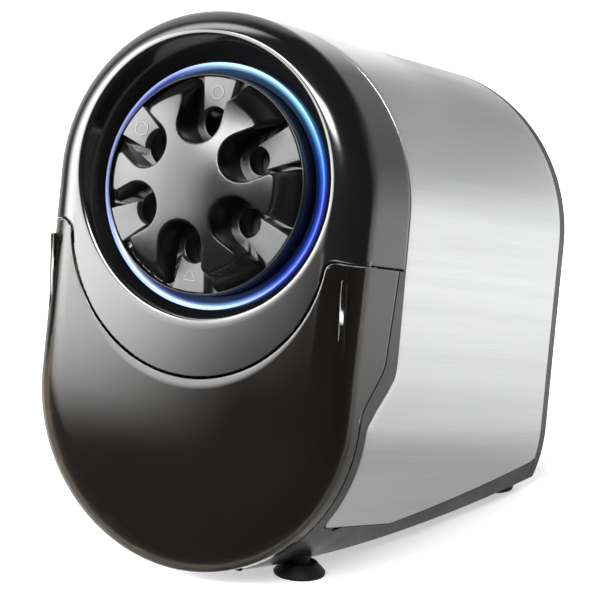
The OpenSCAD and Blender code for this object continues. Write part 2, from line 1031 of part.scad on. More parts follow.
module motor_endcap() {
  color([0.12, 0.12, 0.13])
    at(motor_s0 + motor_len + 0.02, motor_u)
      difference() {
        union() {
          cylinder(r = motor_r, h = 2.4);
          cylinder(r = 6, h = 5);
        }
        translate([0, 0, -1])
          cylinder(r = motor_shaft_r + running_clearance, h = 10);
      }
}
module motor_shaft() {
  color(steel)
    at(large_gear_s - 1, motor_u)
      cylinder(r = motor_shaft_r, h = motor_s0 + motor_len + 14 - large_gear_s);
}
module motor_armature() {
  color(brass)
    at(motor_s0 + 8, motor_u)
      difference() {
        union() {
          cylinder(r = motor_r - 7.5, h = 28);
          translate([0, 0, 28])
            cylinder(r = 5, h = 8);
        }
        translate([0, 0, -1])
          cylinder(r = motor_shaft_r + 0.01, h = 60);
      }
}
module motor_pinion() {
  color(brass)
    at(large_gear_s - 0.3, motor_u)
      difference() {
        linear_extrude(large_gear_h + 0.4)
          rotate(90 + 180 / motor_teeth)
            gear2d(motor_teeth, fine_module);
        translate([0, 0, -1])
          cylinder(r = motor_shaft_r + 0.01, h = 10);
      }
}
module motor_fan() {
  color([0.1, 0.1, 0.11])
    at(motor_s0 + motor_len + 7, motor_u)
      difference() {
        union() {
          cylinder(r = 5, h = 5);
          cylinder(r = 16, h = 1);
          for (i = [0:8])
            rotate(i * 40)
              translate([4, -0.6, 0])
                cube([12, 1.2, 5]);
        }
        translate([0, 0, -1])
          cylinder(r = motor_shaft_r + 0.01, h = 20);
      }
}
module thermal_cutout() {
  color([0.55, 0.5, 0.42])
    at(motor_s0 + 14, motor_u - motor_r - 5.1, -5)
      cube([10, 5, 16]);
}

// ---- electronics ----

board_z = 14;
board_y = 92;
board_w = 62;
board_l = 56;
module control_board() {
  color(green)
    difference() {
      translate([-board_w / 2, dial_y + board_y, board_z])
        cube([board_w, board_l - 10, 1.6]);
      for (x = [-1, 1], y = [6, board_l - 16])
        translate([x * (board_w / 2 - 6), dial_y + board_y + y, 0])
          cylinder(r = 1.6, h = 60);
    }
}
module board_components() {
  color([0.2, 0.2, 0.22])
    translate([0, dial_y + board_y, board_z + 1.62]) {
      translate([-22, 6, 0])
        cube([20, 18, 12]);
      translate([8, 14, 0])
        cylinder(r = 6, h = 14);
      translate([22, 12, 0])
        cylinder(r = 4, h = 11);
      translate([4, 26, 0])
        cube([18, 12, 10]);
      translate([-20, 30, 0])
        cube([14, 6, 8]);
    }
}

switch_y = bin_back + 8;
switch_z = 44;
module tray_switch() {
  color([0.15, 0.12, 0.1])
    translate([-6, dial_y + switch_y, switch_z])
      cube([12, 7, 20]);
}
module switch_leaf() {
  color(steel)
    translate([-2, dial_y + bin_back + 0.6, switch_z + 4])
      difference() {
        cube([4, switch_y - bin_back - 0.62, 12]);
        translate([-1, 0.5, -1])
          cube([6, switch_y - bin_back - 1.6, 12]);
      }
}

// ---- tray ----

module shavings_tray() {
  color([smoke[0], smoke[1], smoke[2], 0.75])
    difference() {
      union() {
        intersection() {
          body_bar();
          pillow();
          tray_zone(tray_gap);
          front_of_tray_edge();
          above(base_z);
        }
        bin_bar(0, -2, bin_back);
      }
      // inside
      intersection() {
        body_bar(wall_t);
        pillow(wall_t);
        translate([0, dial_y + bin_back - 2, 0])
          rotate([90, 0, 0])
            linear_extrude(120)
              difference() {
                union() {
                  translate([0, bin_arc_z])
                    circle(body_r - bin_inset - 2);
                  translate([bin_inset + 2 - body_r, bin_arc_z])
                    square([2 * (body_r - bin_inset - 2), 80]);
                }
                translate([-big / 2, -big / 2])
                  square([big, big / 2 + bin_floor + 2]);
              }
      }
    }
}

silver_shell();
front_bezel();
base_chassis();
rear_cover();
light_ring();
light_board();
leds();
guide_frame();
dial_axle();
detent_spring();
selector_dial();
shavings_tray();
cutter_frame();
ring_gear();
carrier_bearing();
gear_plate();
rear_bush();
cutter_carrier();
carrier_gear();
cutter_spindle();
helical_cutter();
cutter_pinion();
idler_pin();
idler_gear();
motor_can();
motor_magnets();
motor_endcap();
motor_screws();
motor_shaft();
motor_armature();
motor_pinion();
motor_fan();
thermal_cutout();
control_board();
board_components();
start_lever();
lever_pin();
start_switch();
tray_switch();
switch_leaf();
cord_gland();
suction_feet();
base_screws();
plate_screws();
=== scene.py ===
"""A desk pencil sharpener with a lit selector dial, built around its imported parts.

Metres in the scene; the shape functions work in millimetres. The front faces -Y and +X is to its right.
s runs back and down along the cutter axis from the dial's face, u runs upwards across that axis, and v is
u measured from the centre of the body's round top.
"""
import math

import bmesh
import bpy
import mathutils
import numpy as np
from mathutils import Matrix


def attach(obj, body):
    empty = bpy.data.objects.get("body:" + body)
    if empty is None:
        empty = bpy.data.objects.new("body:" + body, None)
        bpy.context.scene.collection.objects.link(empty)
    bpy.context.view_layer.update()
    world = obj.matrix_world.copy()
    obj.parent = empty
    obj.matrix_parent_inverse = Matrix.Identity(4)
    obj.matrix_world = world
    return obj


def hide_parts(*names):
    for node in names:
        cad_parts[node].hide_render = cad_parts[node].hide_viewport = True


bpy.ops.wm.read_factory_settings(use_empty=True)
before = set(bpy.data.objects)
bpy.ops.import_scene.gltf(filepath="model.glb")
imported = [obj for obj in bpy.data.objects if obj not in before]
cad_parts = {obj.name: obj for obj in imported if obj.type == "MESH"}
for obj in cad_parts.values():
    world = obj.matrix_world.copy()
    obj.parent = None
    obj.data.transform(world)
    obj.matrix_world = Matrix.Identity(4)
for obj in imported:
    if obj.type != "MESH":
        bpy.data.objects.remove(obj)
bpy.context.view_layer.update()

MM = 0.001

# ---- the body's frame ----
DIAL = np.array([0.0, -76.0, 126.5])
TILT = math.radians(13.2)
LEAN = math.radians(7.4)
SKIN_LEAN = math.radians(4.3)
SIDE = np.array([1.0, 0.0, 0.0])
AXIS = np.array([0.0, math.cos(TILT), -math.sin(TILT)])
UP = np.array([0.0, math.sin(TILT), math.cos(TILT)])

BODY_R = 55.0
DROP = 64.0
ARCH_DROP = 1.3
RIM_S = 9.2
SHOULDER = 11.8
RISE = 10.6
CROWN = 1.2
SPLIT_U = -16.7
CURVE_R = 44.3
CURVE_DROP = 13.9
FILLET = 4.0
GAP = 0.55
SKIN_FRONT = 33.0
SKIN_BACK = 159.5
SKIN_LOW_U = -99.6
SKIN_LOW_Z = 11.2 - DIAL[2]
BASE_LOW_Z = 4.0 - DIAL[2]

# the front face's plane, and the direction in it that goes up
NORMAL = np.array([0.0, -math.cos(LEAN), math.sin(LEAN)])
UP_FACE = UP - AXIS * (UP @ NORMAL) / (AXIS @ NORMAL)
FACE_ORIGIN = DIAL + RIM_S * AXIS - ARCH_DROP * UP


def at(x, s, u):
    """Points at x sideways, s along the axis and u across it."""
    x, s, u = (np.asarray(k, float)[..., None] for k in (x, s, u))
    return DIAL + x * SIDE + s * AXIS + u * UP


def axial(p):
    """(x, s, u) of points."""
    d = p - DIAL
    return d @ SIDE, d @ AXIS, d @ UP


def spine_distance(x, v):
    """Distance from the line between the centres of the section's two arcs."""
    return np.hypot(x, v - np.clip(v, -DROP, 0.0))


def face_height(x, v):
    """Height of the pillowed face above its rim plane."""
    r = spine_distance(x, v)
    inner = BODY_R - SHOULDER
    c = np.clip((r - inner) / SHOULDER, 0.0, 1.0)
    return RISE * np.sqrt(1.0 - c * c) + CROWN * np.clip(1.0 - (r / inner) ** 2, 0.0, 1.0)


def face(x, v):
    """Points of the front face."""
    x = np.asarray(x, float)
    v = np.asarray(v, float)
    h = face_height(x, v)
    return FACE_ORIGIN + x[..., None] * SIDE + v[..., None] * UP_FACE + h[..., None] * NORMAL


def bisect(f, lo, hi, steps=40):
    """Roots of f, which is below zero at lo and above zero at hi."""
    lo = np.array(lo, float)
    hi = np.array(hi, float)
    for _ in range(steps):
        mid = (lo + hi) / 2
        low = f(mid) < 0
        lo = np.where(low, mid, lo)
        hi = np.where(low, hi, mid)
    return (lo + hi) / 2


def ease(f):
    """Smooth step from 0 to 1."""
    f = np.clip(f, 0.0, 1.0)
    return f * f * (3 - 2 * f)


def mix(a, b, f):
    """The value a share f of the way from a to b."""
    return a + (b - a) * f


def tray_back(z):
    """How far behind the dial's centre the tray's side wall ends, at a height from that centre."""
    return mix(4 + (z + 72.5) * 0.15, 26.8 + (z + 23.5) * 0.224, ease((z + 67) / 15))


def skin_edge(z):
    """How far behind the dial's centre the metal skin begins."""
    return mix(8.5 + (z + 80) * 0.1, SKIN_FRONT + z * math.tan(SKIN_LEAN), ease((z + 72) / 16))


def along(u, limit):
    """Distances s at which lines at level u meet an edge given as y = limit(z) from the dial's centre."""
    u = np.asarray(u, float)

    def over(s):
        y = s * AXIS[1] + u * UP[1]
        z = s * AXIS[2] + u * UP[2]
        return y - limit(z)

    return bisect(over, np.full(u.shape, -60.0), np.full(u.shape, 260.0))


# ---- mesh helpers ----
def grid_faces(rows, columns, start=0, closed=False):
    """Quads between the rows of a grid of points."""
    faces = []
    for r in range(rows - 1):
        for c in range(columns if closed else columns - 1):
            n = (c + 1) % columns
            a = start + r * columns
            faces.append((a + c, a + n, a + columns + n, a + columns + c))
    return faces


class Builder:
    """Collects grids and faces of one piece, in millimetres."""

    def __init__(self):
        self.points = []
        self.faces = []

    def grid(self, rows, closed=False):
        """Adds rows of equally many points."""
        rows = np.asarray(rows, float)
        start = len(self.points)
        self.points.extend(rows.reshape(-1, 3))
        self.faces.extend(grid_faces(rows.shape[0], rows.shape[1], start, closed))

    def patch(self, points, faces):
        start = len(self.points)
        self.points.extend(np.asarray(points, float))
        self.faces.extend(tuple(i + start for i in f) for f in faces)

    def build(self, name, material, body="root", weld=0.002, inner=None, wall=None):
        """Makes the object with its faces turned away from inner. wall is a (thickness, edge radius)."""
        mesh = bpy.data.meshes.new(name)
        mesh.from_pydata([tuple(p * MM) for p in self.points], [], self.faces)
        bm = bmesh.new()
        bm.from_mesh(mesh)
        bmesh.ops.remove_doubles(bm, verts=bm.verts, dist=weld * MM)
        bmesh.ops.recalc_face_normals(bm, faces=bm.faces)
        if inner is not None:
            centre = mathutils.Vector([k * MM for k in inner])
            turn = sum(f.calc_area() * f.normal.dot(f.calc_center_median() - centre) for f in bm.faces)
            if turn < 0:
                bmesh.ops.reverse_faces(bm, faces=bm.faces)
        if wall:
            add_wall(bm, wall[0] * MM, wall[1] * MM)
            for v in bm.verts:
                v.co.x = max(min(v.co.x, BODY_R * MM), -BODY_R * MM)
        for f in bm.faces:
            f.smooth = True
        bm.to_mesh(mesh)
        bm.free()
        mesh.materials.append(material)
        obj = bpy.data.objects.new(name, mesh)
        bpy.context.scene.collection.objects.link(obj)
        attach(obj, body)
        return obj


def add_wall(bm, thickness, radius):
    """Gives a sheet a wall behind it, with rounded borders. Sizes in metres."""
    bm.normal_update()
    sheet = list(bm.verts)
    faces = list(bm.faces)
    normal = {v: v.normal.copy() for v in sheet}
    here = {v: v.co.copy() for v in sheet}
    outward = {v: mathutils.Vector() for v in sheet}
    border = []
    for edge in bm.edges:
        if edge.is_boundary:
            loop = edge.link_loops[0]
            first, last = loop.vert, loop.link_loop_next.vert
            border.append((first, last))
            away = (last.co - first.co).cross(normal[first] + normal[last]).normalized()
            outward[first] += away
            outward[last] += away
    rim = {v: outward[v].normalized() for pair in border for v in pair}
    deep = {v: bm.verts.new(here[v] - normal[v] * thickness) for v in sheet}
    curve = [(math.sin(a) - 1, math.cos(a) - 1) for a in np.radians((30, 60, 90))]
    side = [(x * radius, z * radius) for x, z in curve]
    side += [(x, -thickness - z) for x, z in side[::-1]]
    layers = [dict(zip(sheet, sheet))]
    for x, z in side:
        layers.append({v: bm.verts.new(here[v] + rim[v] * x + normal[v] * z) for v in rim})
    layers.append(deep)
    for v in rim:
        v.co = here[v] - rim[v] * radius
        deep[v].co = here[v] - rim[v] * radius - normal[v] * thickness
    for f in faces:
        bm.faces.new([deep[v] for v in reversed(f.verts)])
    for upper, lower in zip(layers, layers[1:]):
        for first, last in border:
            bm.faces.new((upper[last], upper[first], lower[first], lower[last]))


def rings(profile, columns=128):
    """Rows of a shape turned about the dial's axis from (radius, s) points."""
    turn = np.linspace(0, 2 * math.pi, columns, endpoint=False)
    return [at(r * np.cos(turn), np.full(columns, s), r * np.sin(turn)) for r, s in profile]


def arc(cx, cy, r, a0, a1, n):
    """Points of an arc, angles in degrees."""
    a = np.radians(np.linspace(a0, a1, n))
    return np.stack([cx + r * np.cos(a), cy + r * np.sin(a)], axis=1)


# ---- materials ----
class Finish:
    """A Principled material with procedural detail in the object's own coordinates."""

    def __init__(self, name, colour, rough=0.4, metal=0.0, **inputs):
        self.material = bpy.data.materials.new(name)
        self.material.use_nodes = True
        self.nodes = self.material.node_tree.nodes
        self.links = self.material.node_tree.links
        self.shader = next(n for n in self.nodes if n.type == "BSDF_PRINCIPLED")
        self.shader.inputs["Base Color"].default_value = (*colour, 1)
        self.shader.inputs["Roughness"].default_value = rough
        self.shader.inputs["Metallic"].default_value = metal
        for key, value in inputs.items():
            self.shader.inputs[key.replace("_", " ")].default_value = value
        self.coord = self.nodes.new("ShaderNodeTexCoord").outputs["Object"]
        self.bumped = None

    def mapped(self, scale, turn=0.0):
        """Object coordinates turned about X and scaled, per metre."""
        node = self.nodes.new("ShaderNodeMapping")
        node.inputs["Rotation"].default_value = (turn, 0, 0)
        self.links.new(self.coord, node.inputs["Vector"])
        stretch = self.nodes.new("ShaderNodeVectorMath")
        stretch.operation = "MULTIPLY"
        stretch.inputs[1].default_value = scale
        self.links.new(node.outputs["Vector"], stretch.inputs[0])
        return stretch.outputs["Vector"]

    def noise(self, scale, detail=3.0, turn=0.0, rough=0.5):
        node = self.nodes.new("ShaderNodeTexNoise")
        node.inputs["Scale"].default_value = 1.0
        node.inputs["Detail"].default_value = detail
        node.inputs["Roughness"].default_value = rough
        self.links.new(self.mapped(scale, turn), node.inputs["Vector"])
        return node.outputs["Fac"]

    def span(self, value, low, high, start=0.3, end=0.7):
        node = self.nodes.new("ShaderNodeMapRange")
        node.inputs["From Min"].default_value = start
        node.inputs["From Max"].default_value = end
        node.inputs["To Min"].default_value = low
        node.inputs["To Max"].default_value = high
        self.links.new(value, node.inputs["Value"])
        return node.outputs["Result"]

    def roughness(self, value, low, high):
        self.links.new(self.span(value, low, high), self.shader.inputs["Roughness"])
        return self

    def tint(self, value, low, high):
        node = self.nodes.new("ShaderNodeMix")
        node.data_type = "RGBA"
        node.inputs["A"].default_value = (*low, 1)
        node.inputs["B"].default_value = (*high, 1)
        self.links.new(self.span(value, 0, 1), node.inputs["Factor"])
        self.links.new(node.outputs["Result"], self.shader.inputs["Base Color"])
        return self

    def bump(self, value, depth, strength=1.0):
        """Adds a bump of a depth in metres."""
        node = self.nodes.new("ShaderNodeBump")
        node.inputs["Distance"].default_value = depth
        node.inputs["Strength"].default_value = strength
        self.links.new(value, node.inputs["Height"])
        if self.bumped is not None:
            self.links.new(self.bumped, node.inputs["Normal"])
        self.bumped = node.outputs["Normal"]
        self.links.new(self.bumped, self.shader.inputs["Normal"])
        return self


def plain(name, colour, rough, metal=0.0, grain=900.0, depth=0.00001, **inputs):
    """A finish with fine moulding or casting grain."""
    f = Finish(name, colour, rough, metal, **inputs)
    fine = f.noise((grain,) * 3)
    f.roughness(f.noise((70,) * 3), rough * 0.85, min(rough * 1.2, 1))
    f.bump(fine, depth)
    return f.material


def brushed_metal():
    """Stainless skin, brushed from front to back."""
    f = Finish("brushed_skin", (0.72, 0.725, 0.73), 0.32, 1.0)
    streak = f.noise((2600, 22, 2600), 3, turn=TILT)
    broad = f.noise((260, 4, 260), 2, turn=TILT)
    f.tint(streak, (0.71, 0.715, 0.72), (0.76, 0.765, 0.77))
    f.roughness(broad, 0.30, 0.36)
    f.bump(streak, 0.000003)
    f.shader.inputs["Anisotropic"].default_value = 0.6
    return f.material


def smoked_plastic():
    """Clear plastic tinted brown-black."""
    f = Finish("smoke", (0.042, 0.036, 0.028), 0.06, 0.0, IOR=1.49, Specular_IOR_Level=0.42)
    f.shader.inputs["Transmission Weight"].default_value = 0.97
    f.roughness(f.noise((120,) * 3), 0.04, 0.09)
    f.bump(f.noise((140,) * 3), 0.000002)
    return f.material


def ring_glow_and_highlights():
    """The light ring: its LEDs' glow with painted highlights and painted shade in the glow's colour by angle,
    brightest at the top right and at the foot, deep blue at the right and dark at the left.
    """
    f = Finish("light_blue", (0.004, 0.006, 0.02), 0.25)
    shift = f.nodes.new("ShaderNodeVectorMath")
    shift.operation = "SUBTRACT"
    shift.inputs[1].default_value = tuple(DIAL * MM)
    f.links.new(f.coord, shift.inputs[0])
    flat = f.nodes.new("ShaderNodeCombineXYZ")
    for axis, way in (("X", SIDE), ("Y", UP)):
        part = f.nodes.new("ShaderNodeVectorMath")
        part.operation = "DOT_PRODUCT"
        part.inputs[1].default_value = tuple(way)
        f.links.new(shift.outputs["Vector"], part.inputs[0])
        f.links.new(part.outputs["Value"], flat.inputs[axis])
    split = f.nodes.new("ShaderNodeSeparateXYZ")
    f.links.new(flat.outputs["Vector"], split.inputs["Vector"])
    angle = f.nodes.new("ShaderNodeMath")
    angle.operation = "ARCTAN2"
    f.links.new(split.outputs["Y"], angle.inputs[0])
    f.links.new(split.outputs["X"], angle.inputs[1])
    ramp = f.nodes.new("ShaderNodeValToRGB")
    # painted highlights and shade: the bright stops at the top right and the foot and the dark stops at the
    # left stand in for how the ring's surface takes the light at each angle, over the real glow of its LEDs
    glow_and_highlight_stops = [
        (0.0, (0.01, 0.02, 0.25)), (0.2, (0.14, 0.35, 1.0)), (0.27, (0.28, 0.52, 1.0)),
        (0.38, (0.02, 0.08, 0.8)), (0.5, (0.005, 0.05, 0.6)), (0.56, (0.01, 0.18, 0.9)),
        (0.63, (0.20, 0.62, 1.0)), (0.74, (0.30, 0.66, 1.0)), (0.84, (0.01, 0.05, 0.4)),
        (1.0, (0.01, 0.02, 0.25)),
    ]
    for k, (place, colour) in enumerate(glow_and_highlight_stops):
        if k in (0, len(glow_and_highlight_stops) - 1):
            stop = ramp.color_ramp.elements[0 if k == 0 else -1]
            stop.position = place
        else:
            stop = ramp.color_ramp.elements.new(place)
        stop.color = (*colour, 1)
    f.links.new(f.span(angle.outputs["Value"], 0, 1, -math.pi, math.pi), ramp.inputs["Fac"])
    f.links.new(ramp.outputs["Color"], f.shader.inputs["Emission Color"])
    radius = f.nodes.new("ShaderNodeVectorMath")
    radius.operation = "LENGTH"
    f.links.new(flat.outputs["Vector"], radius.inputs[0])
    band = f.span(radius.outputs["Value"], 0.06, 1.9, 36.0 * MM, 38.3 * MM)
    f.links.new(band, f.shader.inputs["Emission Strength"])
    f.bump(f.noise((500,) * 3), 0.00001)
    return f.material


def icon_mark(name, colour):
    return plain(name, colour, 0.5, 0.0, 1500, 0.000006)


FINISHES = {
    "brushed_skin": brushed_metal(),
    "bezel_black": plain("bezel_black", (0.002, 0.002, 0.002), 0.12, 0.0, 600, 0.000002,
                         Specular_IOR_Level=0.7),
    "base_black": plain("base_black", (0.008, 0.008, 0.008), 0.34, 0.0, 1400, 0.00002),
    "smoke": smoked_plastic(),
    "dial_black": plain("dial_black", (0.003, 0.003, 0.003), 0.22, 0.0, 1100, 0.000004,
                        Specular_IOR_Level=0.34),
    "light_blue": ring_glow_and_highlights(),
    "led": plain("led", (0.9, 0.92, 0.95), 0.4),
    "board_green": plain("board_green", (0.02, 0.16, 0.07), 0.45, 0.0, 700, 0.00002),
    "component": plain("component", (0.05, 0.05, 0.055), 0.5),
    "nylon": plain("nylon", (0.78, 0.76, 0.68), 0.45, 0.0, 600, 0.00001),
    "frame_black": plain("frame_black", (0.03, 0.03, 0.033), 0.5, 0.0, 1000, 0.00002),
    "steel": plain("steel", (0.55, 0.56, 0.58), 0.25, 1.0, 800, 0.000003),
    "cutter_steel": plain("cutter_steel", (0.42, 0.43, 0.45), 0.3, 1.0, 900, 0.000005),
    "zinc_plate": plain("zinc_plate", (0.6, 0.61, 0.62), 0.35, 1.0, 300, 0.00001),
    "brass": plain("brass", (0.72, 0.52, 0.22), 0.28, 1.0, 700, 0.000004),
    "copper_windings": plain("copper_windings", (0.62, 0.26, 0.12), 0.35, 1.0, 500, 0.00003),
    "ferrite": plain("ferrite", (0.07, 0.07, 0.075), 0.6, 0.0, 500, 0.00002),
    "rubber_black": plain("rubber_black", (0.004, 0.004, 0.004), 0.55, 0.0, 900, 0.00002),
}
TONGUE = plain("tongue_grey", (0.035, 0.035, 0.036), 0.4, 0.0, 1300, 0.00001, Specular_IOR_Level=0.4)

# ---- the parting curve between the bezel and the tray ----
def height_on_face(x, z):
    """v at which the face has a height z from the dial's centre."""
    x = np.asarray(x, float)
    z = np.asarray(z, float)
    low = np.full(x.shape, -118.0)
    high = np.full(x.shape, 30.0)
    return bisect(lambda v: face(x, v)[..., 2] - DIAL[2] - z, low, high)


def split_v(x, gap=0.0):
    """v at which the face crosses the level of the side split."""
    x = np.asarray(x, float)
    v = np.full(x.shape, SPLIT_U + ARCH_DROP - gap)
    for _ in range(6):
        v = SPLIT_U + ARCH_DROP - gap - face_height(x, v) * (NORMAL @ UP)
    return v


def parting_curve(gap=0.0, count=60):
    """(x, v) from the right end of the parting curve, around below the dial, to its left end."""
    radius = CURVE_R + gap
    round_r = FILLET - gap
    centre_x = 48.0
    for _ in range(3):
        level = face(centre_x, split_v(centre_x))[2] - DIAL[2]
        fall = level - FILLET + CURVE_DROP
        centre_x = math.sqrt((CURVE_R + FILLET) ** 2 - fall * fall)
    tilt = math.degrees(math.atan2(-fall, centre_x))
    corner = arc(centre_x, level - FILLET, round_r, 90, 180 - tilt, 9)
    curve = arc(0, -CURVE_DROP, radius, -tilt, -180 + tilt, count)
    left = corner[::-1] * [-1, 1]
    xz = np.concatenate([corner, curve[1:-1], left])
    v = height_on_face(xz[:, 0], xz[:, 1])
    return np.stack([xz[:, 0], v], axis=1)


def rim_beyond(centre, p):
    """Where rays from a centre through points p reach the rim of the face."""
    ray = p - centre
    reach = bisect(lambda k: spine_distance(ray[:, 0] * k, centre[1] + ray[:, 1] * k) - BODY_R,
                   np.full(len(p), 0.5), np.full(len(p), 6.0))
    return centre + ray * reach[:, None]


# ---- bezel ----
CONE_R = 38.1
CONE_S = 5.8
CONE_SLOPE = 0.699
CREST = 1.5
CONE_EYE = np.array([0.0, 2.4])


def cone_excess(x, v):
    """How far outside the flared recess's cone the face is."""
    px, s, u = axial(face(x, v))
    return np.hypot(px, u) - (CONE_R + (CONE_S - s) * CONE_SLOPE)


def bezel():
    """The gloss front: the flared recess round the dial, the pillowed arch and the side band."""
    corner = np.array([BODY_R, SPLIT_U + ARCH_DROP])
    side = np.stack([np.full(9, BODY_R), np.linspace(corner[1], 0, 9)], axis=1)
    top = arc(0, 0, BODY_R, 0, 180, 97)
    arch = np.concatenate([side[:-1], top, side[:-1][::-1] * [-1, 1]])
    lower = parting_curve()[::-1]
    left = np.linspace(arch[-1], lower[0], 6)[1:-1]
    right = left[::-1] * [-1, 1]
    ends = np.concatenate([arch, left, lower, right])
    share = bisect(lambda k: cone_excess(ends[:, 0] * k, CONE_EYE[1] + (ends[:, 1] - CONE_EYE[1]) * k),
                   np.full(len(ends), 0.4), np.full(len(ends), 0.999))
    ridge = CONE_EYE + (ends - CONE_EYE) * share[:, None]
    ridge_p = face(ridge[:, 0], ridge[:, 1])
    _, ridge_s, ridge_u = axial(ridge_p)
    turn = np.arctan2(ridge_u, ridge_p[:, 0])
    rows = []
    foot_s = ridge_s + CREST * 0.82
    for f in np.linspace(0, 1, 10):
        s = mix(CONE_S + 1.6, foot_s, f)
        r = CONE_R + (CONE_S - s) * CONE_SLOPE
        rows.append(at(r * np.cos(turn), s, r * np.sin(turn)))
    ray = ends - ridge
    length = np.linalg.norm(ray, axis=1)
    begin = ridge + ray * np.minimum(CREST / length, 0.45)[:, None]
    begin_p = face(begin[:, 0], begin[:, 1])
    foot_p = rows[-1]
    for f in np.linspace(0, 1, 8)[1:]:
        rows.append((1 - f) ** 2 * foot_p + 2 * f * (1 - f) * ridge_p + f * f * begin_p)
    for f in np.sin(np.radians(np.linspace(0, 90, 17)))[1:]:
        q = mix(begin, ends, f)
        rows.append(face(q[:, 0], q[:, 1]))
    b = Builder()
    b.grid(rows, closed=True)
    # the arch goes on over the rim as the side band, back to the metal skin
    u = arch[:, 1] - ARCH_DROP
    _, rim_s, _ = axial(rows[-1][: len(arch)])
    back_s = along(u, lambda z: SKIN_FRONT - 0.35 + z * math.tan(SKIN_LEAN))
    band = [rows[-1][: len(arch)]]
    for f in np.linspace(0, 1, 12)[1:]:
        band.append(at(arch[:, 0], mix(rim_s, back_s, f), u))
    b.grid(band)
    obj = b.build("bezel_front", FINISHES["bezel_black"], inner=(0, 0, 100), wall=(2.2, 0.4))
    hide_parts("front_bezel")
    return obj


def light():
    """The lit ring between the dial and the bezel."""
    b = Builder()
    dish = [(34.2, 8.2), (34.4, 7.6), (35.4, 6.7), (36.8, 6.1), (38.3, 5.75), (39.5, 6.4)]
    b.grid(rings(dish, 160), closed=True)
    obj = b.build("light_ring_lit", FINISHES["light_blue"], inner=(0, 20, 100))
    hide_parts("light_ring")
    return obj


# ---- tray ----
BIN_R = 50.8
BIN_Z = 60.0
BIN_FLOOR = 7.2
BIN_BACK = 46.0
BIN_TOP = 104.5


def tray():
    """The tray's smoked front, from the parting curve over the shoulder and back along the sides."""
    start = parting_curve(GAP, 76)
    centre = np.array([0.0, -11.6])
    ends = rim_beyond(centre, start)
    rows = []
    for f in np.sin(np.radians(np.linspace(0, 90, 30))):
        q = mix(start, ends, f)
        rows.append(face(q[:, 0], q[:, 1]))
    u = ends[:, 1] - ARCH_DROP
    _, rim_s, _ = axial(rows[-1])
    back_s = along(u, tray_back)
    floor_s = (u * UP[2] - BASE_LOW_Z - 0.2) / -AXIS[2]
    back_s = np.minimum(back_s, floor_s)
    for f in np.linspace(0, 1, 12)[1:]:
        rows.append(at(ends[:, 0], mix(rim_s, back_s, f), u))
    b = Builder()
    b.grid(rows)
    obj = b.build("tray_front", FINISHES["smoke"], "tray", inner=(0, 0, 60), wall=(2.4, 0.45))
    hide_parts("shavings_tray")
    return obj


def tray_bin():
    """The trough behind the tray's front, with a back wall."""
    sweep = math.degrees(math.asin((BIN_Z - BIN_FLOOR - 2) / BIN_R))
    right = np.concatenate([[[BIN_R, BIN_TOP], [BIN_R, 82]], arc(0, BIN_Z, BIN_R, 0, -sweep, 14)])
    corner = right[-1]
    right = np.concatenate([right, [[corner[0] - 3, BIN_FLOOR], [20, BIN_FLOOR], [0, BIN_FLOOR]]])
    outline = np.concatenate([right, right[:-1][::-1] * [-1, 1]])
    b = Builder()
    rows = []
    for y, grow in ((-4.0, 1.5), (0.0, 0.2), (12, 0), (28, 0), (BIN_BACK - 0.1, 0)):
        flare = 1 + grow / BIN_R
        rows.append([(x * flare, DIAL[1] + y, z) for x, z in outline])
    b.grid(rows)
    wall = []
    for f in np.linspace(-1, 1, 9):
        wall.append([(x * f, DIAL[1] + BIN_BACK - 0.1, z) for x, z in right])
    b.grid(wall)
    obj = b.build("tray_trough", FINISHES["smoke"], "tray", inner=(0, -60, 70), wall=(2.0, 0.4))
    return obj


# ---- metal skin ----
def shell():
    """The metal skin that wraps over the top and down both sides."""
    low = math.degrees(math.asin((-SKIN_LOW_U - ARCH_DROP - DROP) / BODY_R))
    lower = arc(0, -DROP, BODY_R, -low, 0, 26)
    upright = np.stack([np.full(14, BODY_R), np.linspace(-DROP, 0, 14)], axis=1)
    top = arc(0, 0, BODY_R, 0, 90, 40)
    right = np.concatenate([lower[:-1], upright[:-1], top])
    # closer columns at the rounded lower front corner
    near = arc(0, -DROP, BODY_R, -low, -low + 4.5, 9)
    right = np.concatenate([near, right[right[:, 1] > near[-1, 1] + 0.5]])
    ends = np.concatenate([right, right[:-1][::-1] * [-1, 1]])
    x = ends[:, 0]
    u = ends[:, 1] - ARCH_DROP
    front = along(u, skin_edge)
    corner_r = 3.5
    rise = np.clip(corner_r - (u - SKIN_LOW_U), 0, corner_r)
    front = front + corner_r - np.sqrt(corner_r ** 2 - rise ** 2)
    back = along(u, lambda z: SKIN_BACK + z * math.tan(SKIN_LEAN))
    back = np.minimum(back, (u * UP[2] - SKIN_LOW_Z) / -AXIS[2])
    rows = [at(x, mix(front, back, f), u) for f in np.linspace(0, 1, 30)]
    b = Builder()
    b.grid(rows)
    finish = FINISHES["brushed_skin"]
    obj = b.build("skin_brushed", finish, inner=(0, 0, 90), wall=(1.2, 0.25))
    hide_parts("silver_shell")
    return obj


# ---- dial ----
DOME_R = 28.0
DOME_EDGE = 7.6
DOME_H = 12.0
DOME_BALL = (DOME_R ** 2 + (DOME_H - DOME_EDGE) ** 2) / (2 * (DOME_H - DOME_EDGE))
HOLE_CIRCLE = 19.3
HOLE_D = (9.2, 11.2, 10.4, 9.8, 8.8, 8.2)
SLOT_HALF = 7.3
TIP = 1.6
FLOOR_S = 3.2


def dome_s(x, u):
    """Depth s of the dial's dome."""
    return -DOME_EDGE - (np.sqrt(DOME_BALL ** 2 - x * x - u * u) - math.sqrt(DOME_BALL ** 2 - DOME_R ** 2))


def turned(points, degrees):
    """Points turned about the origin."""
    a = math.radians(degrees)
    c, s = math.cos(a), math.sin(a)
    return points @ np.array([[c, s], [-s, c]])


